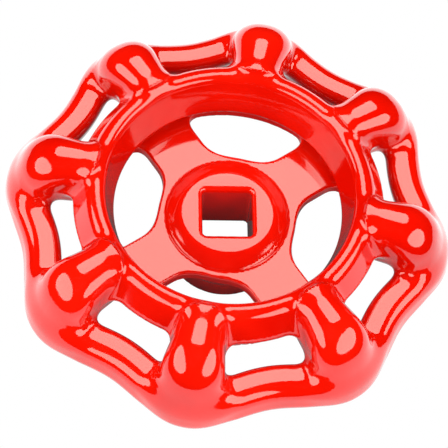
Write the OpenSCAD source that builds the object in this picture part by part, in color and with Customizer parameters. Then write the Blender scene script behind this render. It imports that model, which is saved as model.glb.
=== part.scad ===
// Eight-lobe handwheel of a small gate valve.
// One casting: hub with square stem socket, four flat spokes, a raised inner
// ring, eight rounded grip lobes and a scalloped rim between the lobes.
// Origin: centre of the hub underside. +Z: up, out of the valve. Units: mm.

/* [Wheel] */
// Outside diameter measured over two opposite lobes
wheel_d = 63; // [62:0.5:66]
// How far the rim dips in between two lobes
scallop = 2.2; // [2:0.1:2.6]
// Radius of the inward bow of the rim between two lobes
bow_r = 20; // [18:1:22]
// Radial width of the rim
rim_w = 4.9; // [4.6:0.1:5.2]
// Height of the rim
rim_h = 5; // [4.6:0.1:5.4]
// Height of the rim underside above the hub underside
rim_z = 6.2; // [6:0.1:6.6]

/* [Hub] */
// Outside diameter of the hub under the spokes
hub_d = 16.4; // [15.8:0.2:17]
// Height of the hub from underside to boss face
hub_h = 10; // [9.6:0.1:10.4]
// Diameter of the raised boss on top of the hub
boss_d = 15; // [14.4:0.2:15.6]
// Radius of the rounded edge of the boss
boss_round = 0.9; // [0.6:0.1:0.9]
// Width across the flats of the square stem socket
socket_af = 7; // [6:0.5:8]
// Corner radius of the square stem socket
socket_corner = 0.6; // [0.3:0.1:1]
// Depth of the chamfer around the socket mouth
mouth = 0.5; // [0.2:0.1:0.7]
// Rotation of the square socket against the lobe pattern
socket_turn = 11.7; // [0:0.1:45]

/* [Spokes] */
// Width of each of the four spokes
spoke_w = 7.8; // [7:0.2:8.4]
// Thickness of the spokes
web_t = 1.9; // [1.6:0.1:2.2]
// Depth of the spoke tops below the boss face
boss_rise = 1.15; // [0.95:0.05:1.2]
// Radius of the plain disc between hub and spoke windows
disc_r = 9.75; // [9.4:0.05:10]
// Corner radius of the windows between the spokes
window_corner = 1.5; // [1.2:0.1:1.7]

/* [Ring] */
// Radius of the crest of the raised ring
crest_r = 18.2; // [18:0.1:18.5]
// Height of the crest above the hub underside
crest_z = 17.5; // [17.2:0.1:17.8]
// Radius of the ring at the inner foot
foot_in_r = 15.7; // [15.6:0.1:15.9]
// Radius of the ring at the outer foot
foot_out_r = 21.7; // [21.5:0.1:21.8]
// Height of the ring underside at the inner foot
foot_z = 10.1; // [10:0.1:10.3]

/* [Lobes] */
// Radius of each lobe at the shoulder over the rim
lobe_r = 5; // [4.8:0.1:5.1]
// Radius of each lobe where it leaves the ring
neck_r = 3.5; // [3.3:0.1:3.7]
// Height of the underside of the lobes above the hub underside
under_z = 8.1; // [7.8:0.1:8.4]

/* [Hidden] */
$fn = 96;

coat = [0.80, 0.05, 0.04];
hub_r = hub_d / 2;
boss_r = boss_d / 2;
web_top = hub_h - boss_rise;
web_bot = web_top - web_t;
half_w = spoke_w / 2;

// inner ring section
ring_round = 0.7;
crest_half = 0.35;
foot_rise = 3;

// rim centre line: outward bow at each lobe, inward bow between lobes, tangent to each other
r_lobe = wheel_d / 2 - rim_w / 2;
r_mid = r_lobe - scallop;
bow_c = r_mid + bow_r;
bow_x = bow_c * cos(22.5);
bow_y = bow_c * sin(22.5);
nose_top = bow_c * bow_c + r_lobe * r_lobe - 2 * bow_x * r_lobe - bow_r * bow_r;
nose_r = nose_top / (2 * bow_r + 2 * r_lobe - 2 * bow_x);
nose_c = r_lobe - nose_r;
nose_a = atan2(bow_y, bow_x - nose_c);
bow_a = nose_a - 22.5;
rim_mid_z = rim_z + rim_h / 2;
rim_round = 1.8;

// axis of a lobe's ridge, from the neck beside the ring crest to the shoulder over the rim
neck_x = 20.4;
neck_z = crest_z - neck_r - 0.1;
lobe_x = 24.7;
lobe_z = 18.4 - lobe_r;
axis_l = norm([lobe_x - neck_x, lobe_z - neck_z]);
axis_a = atan2(lobe_x - neck_x, lobe_z - neck_z);

// outward unit normal of the side from a to b, corners listed anticlockwise
function side_n(a, b) = [b[1] - a[1], a[0] - b[0]] / norm(b - a);

// convex shape with corners p, grown outwards by c with true round corners
module round_shape(p, c) {
  n = len(p);
  polygon([for (i = [0 : n - 1]) each [
    p[i] + c * side_n(p[i], p[(i + 1) % n]),
    p[(i + 1) % n] + c * side_n(p[i], p[(i + 1) % n])]]);
  for (q = p) {
    translate(q) circle(r = c);
  }
}

// half section of the ring, in radius and height
module ring_section() {
  c = ring_round;
  round_shape([
    [foot_in_r + c, foot_z + c],
    [foot_out_r - c, foot_z + foot_rise + c],
    [crest_r + crest_half, crest_z - c],
    [crest_r - crest_half, crest_z - c]], c);
}

module ring_solid() {
  rotate_extrude() ring_section();
}

// rim section centred on its own middle
module rim_section() {
  a = rim_w / 2 - rim_round;
  b = rim_h / 2 - rim_round;
  round_shape([[-a, -b], [a, -b], [a, b], [-a, b]], rim_round);
}

// ---- hub ----------------------------------------------------------------

module socket_plan() {
  a = socket_af / 2 - socket_corner;
  round_shape([[-a, -a], [a, -a], [a, a], [-a, a]], socket_corner);
}

module hub_section() {
  e = boss_round;
  square([hub_r, web_top]);
  square([boss_r - e, hub_h]);
  square([boss_r, hub_h - e]);
  translate([boss_r - e, hub_h - e]) circle(r = e);
}

module mouth_cut() {
  a = socket_af / 2;
  m = mouth;
  rotate([0, 0, 45]) cylinder(h = m, r1 = a * sqrt(2), r2 = (a + m) * sqrt(2), $fn = 4);
}

module hub() {
  color(coat) difference() {
    rotate_extrude() hub_section();
    rotate([0, 0, socket_turn]) translate([0, 0, -1])
      linear_extrude(hub_h + 2) socket_plan();
    rotate([0, 0, socket_turn]) translate([0, 0, hub_h - mouth]) mouth_cut();
  }
}

// ---- spokes -------------------------------------------------------------

// section of the web and of the root that carries the ring, up to and into the ring
module web_section() {
  polygon([
    [hub_r, web_bot],
    [foot_in_r + 2.4, web_bot],
    [foot_out_r - 1.4, foot_z + 2],
    [foot_in_r + 0.9, foot_z + 1.2],
    [foot_in_r - 1.2, web_top],
    [hub_r, web_top]]);
}

// plan of one spoke along +X with rounded window corners, as wide as a quarter at the hub
module spoke_plan() {
  c = window_corner;
  v = half_w + c;
  ui = sqrt(pow(disc_r + c, 2) - v * v);
  uo = sqrt(pow(foot_in_r + 0.7 - c, 2) - v * v);
  ki = disc_r / (disc_r + c);
  end = uo + 1.2 * c;
  far = foot_out_r + 1;
  translate([0, -half_w]) square([far, spoke_w]);
  intersection() {
    circle(r = disc_r);
    rotate([0, 0, -45]) square([far, far]);
  }
  for (s = [0, 1]) mirror([0, s, 0]) {
    difference() {
      polygon([[ui - 2 * c, half_w * 0.9], [ui, half_w * 0.9], [ui, v], [ui * ki, v * ki]]);
      translate([ui, v]) circle(r = c);
    }
    difference() {
      polygon([[uo, half_w * 0.9], [end, half_w * 0.9], [end, v * end / uo], [uo, v]]);
      translate([uo, v]) circle(r = c);
    }
  }
}

module spoke(i) {
  color(coat) rotate([0, 0, 90 * i - 45]) difference() {
    intersection() {
      rotate([0, 0, -45]) rotate_extrude(angle = 90) web_section();
      linear_extrude(hub_h + 5) spoke_plan();
    }
    ring_solid();
  }
}

module spoke_1() { spoke(1); }
module spoke_2() { spoke(2); }
module spoke_3() { spoke(3); }
module spoke_4() { spoke(4); }

// ---- inner ring ---------------------------------------------------------

module ring() {
  color(coat) ring_solid();
}

// ---- grip lobes ---------------------------------------------------------

// outward bow of the rim, part of the lobe it passes through
module rim_nose() {
  translate([nose_c, 0, rim_mid_z]) rotate([0, 0, -nose_a])
    rotate_extrude(angle = 2 * nose_a) translate([nose_r, 0]) rim_section();
}

// rounded ridge from the ring crest to the shoulder, on a round post down to the rim
module ridge() {
  translate([neck_x, 0, neck_z]) sphere(r = neck_r);
  translate([neck_x, 0, neck_z]) rotate([0, axis_a, 0])
    cylinder(h = axis_l, r1 = neck_r - 0.15, r2 = lobe_r - 0.15);
  translate([lobe_x, 0, lobe_z]) sphere(r = lobe_r);
  translate([lobe_x, 0, under_z]) cylinder(h = lobe_z - under_z, r = lobe_r - 0.25);
}

module lobe(i) {
  color(coat) rotate([0, 0, 45 * i - 45]) difference() {
    union() {
      rim_nose();
      ridge();
    }
    ring_solid();
  }
}

module lobe_1() { lobe(1); }
module lobe_2() { lobe(2); }
module lobe_3() { lobe(3); }
module lobe_4() { lobe(4); }
module lobe_5() { lobe(5); }
module lobe_6() { lobe(6); }
module lobe_7() { lobe(7); }
module lobe_8() { lobe(8); }

// ---- scalloped rim between the lobes ------------------------------------

module rim_arc(i) {
  color(coat) rotate([0, 0, 45 * i - 22.5]) translate([bow_c, 0, rim_mid_z])
    rotate([0, 0, 180 - bow_a]) rotate_extrude(angle = 2 * bow_a)
      translate([bow_r, 0]) mirror([1, 0, 0]) rim_section();
}

module rim_arc_1() { rim_arc(1); }
module rim_arc_2() { rim_arc(2); }
module rim_arc_3() { rim_arc(3); }
module rim_arc_4() { rim_arc(4); }
module rim_arc_5() { rim_arc(5); }
module rim_arc_6() { rim_arc(6); }
module rim_arc_7() { rim_arc(7); }
module rim_arc_8() { rim_arc(8); }

hub();
spoke_1();
spoke_2();
spoke_3();
spoke_4();
ring();
lobe_1();
lobe_2();
lobe_3();
lobe_4();
lobe_5();
lobe_6();
lobe_7();
lobe_8();
rim_arc_1();
rim_arc_2();
rim_arc_3();
rim_arc_4();
rim_arc_5();
rim_arc_6();
rim_arc_7();
rim_arc_8();
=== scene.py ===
import math

import bpy
import numpy as np
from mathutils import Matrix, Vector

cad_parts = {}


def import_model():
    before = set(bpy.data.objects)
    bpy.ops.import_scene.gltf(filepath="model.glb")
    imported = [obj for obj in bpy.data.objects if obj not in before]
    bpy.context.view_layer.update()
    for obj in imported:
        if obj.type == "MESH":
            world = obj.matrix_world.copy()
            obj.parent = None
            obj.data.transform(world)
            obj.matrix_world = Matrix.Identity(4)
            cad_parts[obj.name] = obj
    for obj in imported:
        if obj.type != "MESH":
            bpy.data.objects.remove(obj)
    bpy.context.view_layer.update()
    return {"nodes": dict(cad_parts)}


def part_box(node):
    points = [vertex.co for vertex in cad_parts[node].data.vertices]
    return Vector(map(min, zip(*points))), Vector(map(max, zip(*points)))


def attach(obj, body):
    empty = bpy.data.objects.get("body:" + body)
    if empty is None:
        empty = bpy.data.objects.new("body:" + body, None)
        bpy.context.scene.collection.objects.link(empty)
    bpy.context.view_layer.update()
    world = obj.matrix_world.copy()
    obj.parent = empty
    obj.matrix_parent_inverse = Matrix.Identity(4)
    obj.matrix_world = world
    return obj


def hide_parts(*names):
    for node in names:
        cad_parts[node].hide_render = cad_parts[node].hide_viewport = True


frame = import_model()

import openvdb
from mathutils import Matrix, Vector

MM = 0.001


# ---- sizes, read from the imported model, in millimetres ----------------------------------

def box_mm(node):
    low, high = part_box(node)
    return np.array(low) / MM, np.array(high) / MM


HUB_HIGH = box_mm("hub")[1]
ARC_LOW, ARC_HIGH = box_mm("rim_arc_1")
LOBE_HIGH = box_mm("lobe_1")[1]

TOP = HUB_HIGH[2]                        # boss face
HUB_R = HUB_HIGH[0]                      # hub cylinder under the web
CREST = box_mm("ring")[1][2]             # crest of the raised ring
WEB_LOW = box_mm("spoke_1")[0][2]        # underside of the spokes
RIM_LOW = ARC_LOW[2]                     # underside of the rim
RIM_HIGH = ARC_HIGH[2]                   # top of the rim
RIM_OUT = LOBE_HIGH[0]                   # outermost point of a lobe
LOBE_TOP = LOBE_HIGH[2]                  # top of the lobes

WEB_TOP = TOP - 1.15                     # top of the spokes
SPOKE_HALF = 3.9                         # half of a spoke's width
BOSS_R = HUB_R - 0.7                     # raised boss around the socket
SOCKET = 7.0                             # square socket, across the flats
SOCKET_TURN = math.radians(11.7)
LOBES = 8


# ---- distance field of the casting ------------------------------------------------------

def blend_min(a, b, k):
    """Inside a or inside b, with a fillet about k wide where they meet."""
    h = np.clip(0.5 + 0.5 * (b - a) / k, 0.0, 1.0)
    return b + (a - b) * h - k * h * (1.0 - h)


def blend_max(a, b, k):
    """Both inside a and inside b, with the edge between them eased over about k."""
    return -blend_min(-a, -b, k)


def round_join(a, b, r):
    """Both inside a and inside b, with the edge between them rounded to radius r."""
    a = a + r
    b = b + r
    outer = np.hypot(np.maximum(a, 0.0), np.maximum(b, 0.0))
    return outer + np.minimum(np.maximum(a, b), 0.0) - r


def polygon(u, z, corners, r):
    """Convex section through the corners, anticlockwise, with rounded corners."""
    d = None
    for i, (u0, z0) in enumerate(corners):
        u1, z1 = corners[(i + 1) % len(corners)]
        length = math.hypot(u1 - u0, z1 - z0)
        side = ((u - u0) * (z1 - z0) - (z - z0) * (u1 - u0)) / length + r
        d = side if d is None else blend_max(d, side, r * 1.2)
    return d - r


def ring_field(r, z):
    """Bowl-like ring, from its inner foot and outer foot up to the crest."""
    rounding = 0.9
    foot_in = (15.7, TOP + 0.1)
    foot_out = (21.9, TOP + 3.2)
    crest_out = (19.2, CREST)
    crest_in = (17.3, CREST)
    return polygon(r, z, [foot_in, foot_out, crest_out, crest_in], rounding)


def rim_field(r, z, phi):
    """Scalloped rim, whose section leans in towards its top."""
    half_w = 2.45
    half_h = (RIM_HIGH - RIM_LOW) / 2
    rounding = 1.9
    wave = 1.1
    toe = 0.5                            # left for the fillet of the lobe's toe
    lean = 0.23
    pz = z - (RIM_HIGH + RIM_LOW) / 2
    path = RIM_OUT - toe - half_w - wave + wave * np.cos(LOBES * phi) - lean * pz
    slope = -LOBES * wave * np.sin(LOBES * phi) / path
    pr = (r - path) / np.sqrt(1 + slope * slope)
    return round_join(np.abs(pr) - half_w, np.abs(pz) - half_h, rounding)


def lobe_field(u, v, z):
    """Ridge from the ring crest over a round shoulder, cut off flat underneath."""
    shoulder_u = 24.7
    shoulder_r = 5.0
    shoulder_z = LOBE_TOP - shoulder_r - 0.3
    fall = 0.08                          # slope of the ridge's top
    flare = 0.15                         # slope of its outer face
    underside = 8.4
    inner_end = 18.6
    edge = 0.25                          # of the half width, left out of the rounding
    top = (z - shoulder_z - shoulder_r + fall * (u - shoulder_u)) / math.hypot(1, fall)
    out = (u - shoulder_u - shoulder_r + flare * (z - shoulder_z)) / math.hypot(1, flare)
    d = round_join(top, out, shoulder_r)
    d = np.maximum(blend_max(d, underside - z, 1.5), inner_end - u)
    half_w = 3.9 + 0.22 * np.clip(u - 24, -4, 6)
    side = np.sqrt(v * v + 0.04) - half_w
    return round_join(d, side, half_w - edge)


def web_field(r, z, phi):
    """Flat web with four windows, which leave the four spokes."""
    window_in = 9.75
    window_out = 17.4
    web_end = 19.0                       # inside the ring
    corner = 1.4
    fold = (phi % (math.pi / 2)) - math.pi / 4
    across = np.abs(r * np.sin(fold))
    middle = (WEB_TOP + WEB_LOW) / 2
    plate = np.maximum(np.abs(z - middle) - (WEB_TOP - WEB_LOW) / 2, r - web_end)
    band = blend_max(r - window_out, window_in - r, corner)
    window = blend_max(band, SPOKE_HALF - across, 2 * corner)
    return blend_max(plate, -window, 0.5)


def hub_field(r, z):
    underside = 0.12                     # a hair above the floor
    return blend_max(r - HUB_R, np.maximum(z - WEB_TOP, underside - z), 0.3)


def boss_field(r, z):
    bottom = 5                           # buried in the hub
    return blend_max(blend_max(r - BOSS_R, z - TOP, 2.2), bottom - z, 0.3)


def socket_field(x, y):
    """Square through hole with rounded corners."""
    c = math.cos(SOCKET_TURN)
    s = math.sin(SOCKET_TURN)
    half = SOCKET / 2
    return round_join(np.abs(x * c + y * s) - half, np.abs(y * c - x * s) - half, 0.6)


def casting(p):
    x, y, z = p
    r = np.hypot(x, y)
    phi = np.arctan2(y, x)
    turn = 2 * math.pi / LOBES
    fold = (phi + turn / 2) % turn - turn / 2
    u = r * np.cos(fold)
    v = r * np.sin(fold)
    toe_fillet = 2.0 + 1.6 * np.clip((r - 26.5) / 2.5, 0.0, 1.0)
    d = blend_min(ring_field(r, z), lobe_field(u, v, z), 2.0)
    d = blend_min(d, rim_field(r, z, phi), toe_fillet)
    d = blend_min(d, web_field(r, z, phi), 1.0)
    d = blend_min(d, hub_field(r, z), 0.6)
    d = blend_min(d, boss_field(r, z), 1.8)
    return blend_max(d, -socket_field(x, y), 0.9)


def gradient(p):
    step = 0.02
    g = []
    for axis in range(3):
        shift = np.zeros((3, 1))
        shift[axis] = step
        g.append(casting(p + shift) - casting(p - shift))
    return np.array(g) / (2 * step)


def casting_mesh(name, pitch):
    """The casting's surface on a grid, with each point then moved onto the exact surface."""
    reach = RIM_OUT + 3 * pitch
    headroom = 2.5
    n = int(2 * reach / pitch) + 1
    rows = int((CREST + headroom + 6 * pitch) / pitch) + 1
    start = np.array([-reach, -reach, -3 * pitch])
    xs = start[0] + pitch * np.arange(n)
    zs = start[2] + pitch * np.arange(rows)
    gx, gy, gz = np.meshgrid(xs, xs, zs, indexing="ij", sparse=True)
    gx, gy, gz = np.broadcast_arrays(gx, gy, gz)
    field = casting((gx, gy, gz)).astype(np.float32)
    grid = openvdb.FloatGrid(3.0)
    grid.copyFromArray(field)
    points, quads = grid.convertToQuads(0.0)
    p = points.T.astype(float) * pitch + start[:, None]
    for _ in range(4):
        g = gradient(p)
        step = casting(p) / np.maximum((g * g).sum(0), 0.25)
        p = p - g * np.clip(step, -pitch / 2, pitch / 2)
    mesh = bpy.data.meshes.new(name)
    mesh.from_pydata((p.T * MM).tolist(), [], quads.tolist())
    mesh.validate()
    normals = gradient(p)
    normals = (normals / np.linalg.norm(normals, axis=0)).T
    face = mesh.polygons[0]
    if face.normal.dot(Vector(normals[face.vertices[0]])) < 0:
        mesh.flip_normals()
    mesh.shade_smooth()
    mesh.normals_split_custom_set_from_vertices(normals.tolist())
    return mesh


# ---- red coat ---------------------------------------------------------------------------

def coat_material():
    """Glossy red coat, slightly cloudy and with a faint peel."""
    m = bpy.data.materials.new("red_coat")
    m.use_nodes = True
    nodes = m.node_tree.nodes
    links = m.node_tree.links
    shader = nodes["Principled BSDF"]
    shader.inputs["Metallic"].default_value = 0.0
    shader.inputs["IOR"].default_value = 1.5
    shader.inputs["Specular IOR Level"].default_value = 0.25
    shader.inputs["Coat Weight"].default_value = 1.0
    shader.inputs["Coat Roughness"].default_value = 0.05
    coord = nodes.new("ShaderNodeTexCoord")
    cloud = nodes.new("ShaderNodeTexNoise")
    cloud.inputs["Scale"].default_value = 90.0
    cloud.inputs["Detail"].default_value = 3.0
    links.new(coord.outputs["Object"], cloud.inputs["Vector"])
    tint = nodes.new("ShaderNodeValToRGB")
    tint.color_ramp.elements[0].position = 0.35
    tint.color_ramp.elements[0].color = (0.56, 0.003, 0.0, 1.0)
    tint.color_ramp.elements[1].position = 0.65
    tint.color_ramp.elements[1].color = (0.68, 0.006, 0.001, 1.0)
    links.new(cloud.outputs["Fac"], tint.inputs["Fac"])
    links.new(tint.outputs["Color"], shader.inputs["Base Color"])
    gloss = nodes.new("ShaderNodeMapRange")
    gloss.inputs["To Min"].default_value = 0.05
    gloss.inputs["To Max"].default_value = 0.12
    links.new(cloud.outputs["Fac"], gloss.inputs["Value"])
    links.new(gloss.outputs["Result"], shader.inputs["Roughness"])
    peel = nodes.new("ShaderNodeTexNoise")
    peel.inputs["Scale"].default_value = 300.0
    peel.inputs["Detail"].default_value = 0.0
    links.new(coord.outputs["Object"], peel.inputs["Vector"])
    bump = nodes.new("ShaderNodeBump")
    bump.inputs["Strength"].default_value = 0.06
    bump.inputs["Distance"].default_value = 0.00004
    links.new(peel.outputs["Fac"], bump.inputs["Height"])
    links.new(bump.outputs["Normal"], shader.inputs["Normal"])
    links.new(bump.outputs["Normal"], shader.inputs["Coat Normal"])
    return m


PITCH = 0.36
wheel = bpy.data.objects.new("casting", casting_mesh("casting", PITCH))
bpy.context.scene.collection.objects.link(wheel)
wheel.data.materials.append(coat_material())
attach(wheel, "root")
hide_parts(*sorted(frame["nodes"]))


# ---- floor, light and camera ------------------------------------------------------------

def floor():
    """Pale floor that glows to light the wheel from below, its glow dimmed under the wheel as painted
    shade, plain white where the camera sees it.
    """
    mesh = bpy.data.meshes.new("floor")
    half = 0.11
    corners = [(-half, -half, 0), (half, -half, 0), (half, half, 0), (-half, half, 0)]
    mesh.from_pydata(corners, [], [(0, 1, 2, 3)])
    obj = bpy.data.objects.new("floor", mesh)
    bpy.context.scene.collection.objects.link(obj)
    m = bpy.data.materials.new("pale_floor")
    m.use_nodes = True
    nodes = m.node_tree.nodes
    links = m.node_tree.links
    coord = nodes.new("ShaderNodeTexCoord")
    reach = nodes.new("ShaderNodeVectorMath")
    reach.operation = "LENGTH"
    links.new(coord.outputs["Object"], reach.inputs[0])
    # painted shade: the floor's glow falls from full to almost nothing towards its centre, under the
    # wheel
    shade = nodes.new("ShaderNodeMapRange")
    shade.interpolation_type = "SMOOTHSTEP"
    shade.inputs["From Min"].default_value = 0.012
    shade.inputs["From Max"].default_value = 0.042
    shade.inputs["To Min"].default_value = 0.05
    shade.inputs["To Max"].default_value = 1.35
    links.new(reach.outputs["Value"], shade.inputs["Value"])
    path = nodes.new("ShaderNodeLightPath")
    glow = nodes.new("ShaderNodeMix")
    glow.inputs["B"].default_value = 1.0
    links.new(path.outputs["Is Camera Ray"], glow.inputs["Factor"])
    links.new(shade.outputs["Result"], glow.inputs["A"])
    # the floor glows though it is no lamp, lighting the wheel's underside and lower walls
    light = nodes.new("ShaderNodeEmission")
    links.new(glow.outputs["Result"], light.inputs["Strength"])
    links.new(light.outputs["Emission"], nodes["Material Output"].inputs["Surface"])
    mesh.materials.append(m)


def softbox(name, azimuth, tilt, size_x, size_y, radiance):
    """An oval light seen from the wheel at that azimuth and angle off +Z, facing the wheel."""
    distance = 1.2
    data = bpy.data.lights.new(name, "AREA")
    data.shape = "ELLIPSE"
    data.size = size_x
    data.size_y = size_y
    data.color = (1.0, 0.95, 0.84)
    data.energy = radiance * math.pi * size_x * size_y * math.pi / 4
    obj = bpy.data.objects.new(name, data)
    bpy.context.scene.collection.objects.link(obj)
    a = math.radians(azimuth)
    t = math.radians(tilt)
    away = Vector((math.cos(a) * math.sin(t), math.sin(a) * math.sin(t), math.cos(t)))
    obj.location = away * distance
    obj.rotation_euler = away.to_track_quat("Z", "Y").to_euler()
    return obj


def camera():
    distance = 0.24231
    data = bpy.data.cameras.new("camera")
    obj = bpy.data.objects.new("camera", data)
    bpy.context.scene.collection.objects.link(obj)
    tilt = math.radians(27.55)
    turn = math.radians(3.73)
    roll = math.radians(7.83)
    back = Vector((math.sin(turn) * math.sin(tilt), -math.cos(turn) * math.sin(tilt), math.cos(tilt)))
    right = Vector((math.cos(turn), math.sin(turn), 0.0))
    up = back.cross(right)
    side = right * math.cos(roll) + up * math.sin(roll)
    head = up * math.cos(roll) - right * math.sin(roll)
    target = Vector((-0.15, -1.92, TOP)) * MM
    place = target + back * distance
    obj.matrix_world = Matrix((
        (side.x, head.x, back.x, place.x),
        (side.y, head.y, back.y, place.y),
        (side.z, head.z, back.z, place.z),
        (0.0, 0.0, 0.0, 1.0)))
    data.sensor_width = 36.0
    data.lens = 139.61
    data.clip_start = 0.01
    data.clip_end = 20.0
    bpy.context.scene.camera = obj


def world():
    """White behind the wheel, nearly dark in its reflections."""
    w = bpy.data.worlds.new("studio")
    bpy.context.scene.world = w
    w.use_nodes = True
    nodes = w.node_tree.nodes
    links = w.node_tree.links
    seen = nodes["Background"]
    seen.inputs["Color"].default_value = (1.0, 1.0, 1.0, 1.0)
    seen.inputs["Strength"].default_value = 1.0
    dim = nodes.new("ShaderNodeBackground")
    dim.inputs["Color"].default_value = (1.0, 1.0, 1.0, 1.0)
    dim.inputs["Strength"].default_value = 0.006
    path = nodes.new("ShaderNodeLightPath")
    mix = nodes.new("ShaderNodeMixShader")
    links.new(path.outputs["Is Camera Ray"], mix.inputs["Fac"])
    links.new(dim.outputs["Background"], mix.inputs[1])
    links.new(seen.outputs["Background"], mix.inputs[2])
    links.new(mix.outputs["Shader"], nodes["World Output"].inputs["Surface"])


floor()
softbox("key_far", 94, 28, 1.1, 0.9, 5.2)
softbox("side_left", 210, 57, 1.7, 0.8, 5.0)
softbox("side_right", 338, 57, 1.7, 0.8, 5.0)
wash = softbox("wash", 250, 20, 1.2, 1.2, 1.5)
wash.visible_glossy = False
camera()
world()
bpy.context.scene.view_settings.view_transform = "Standard"
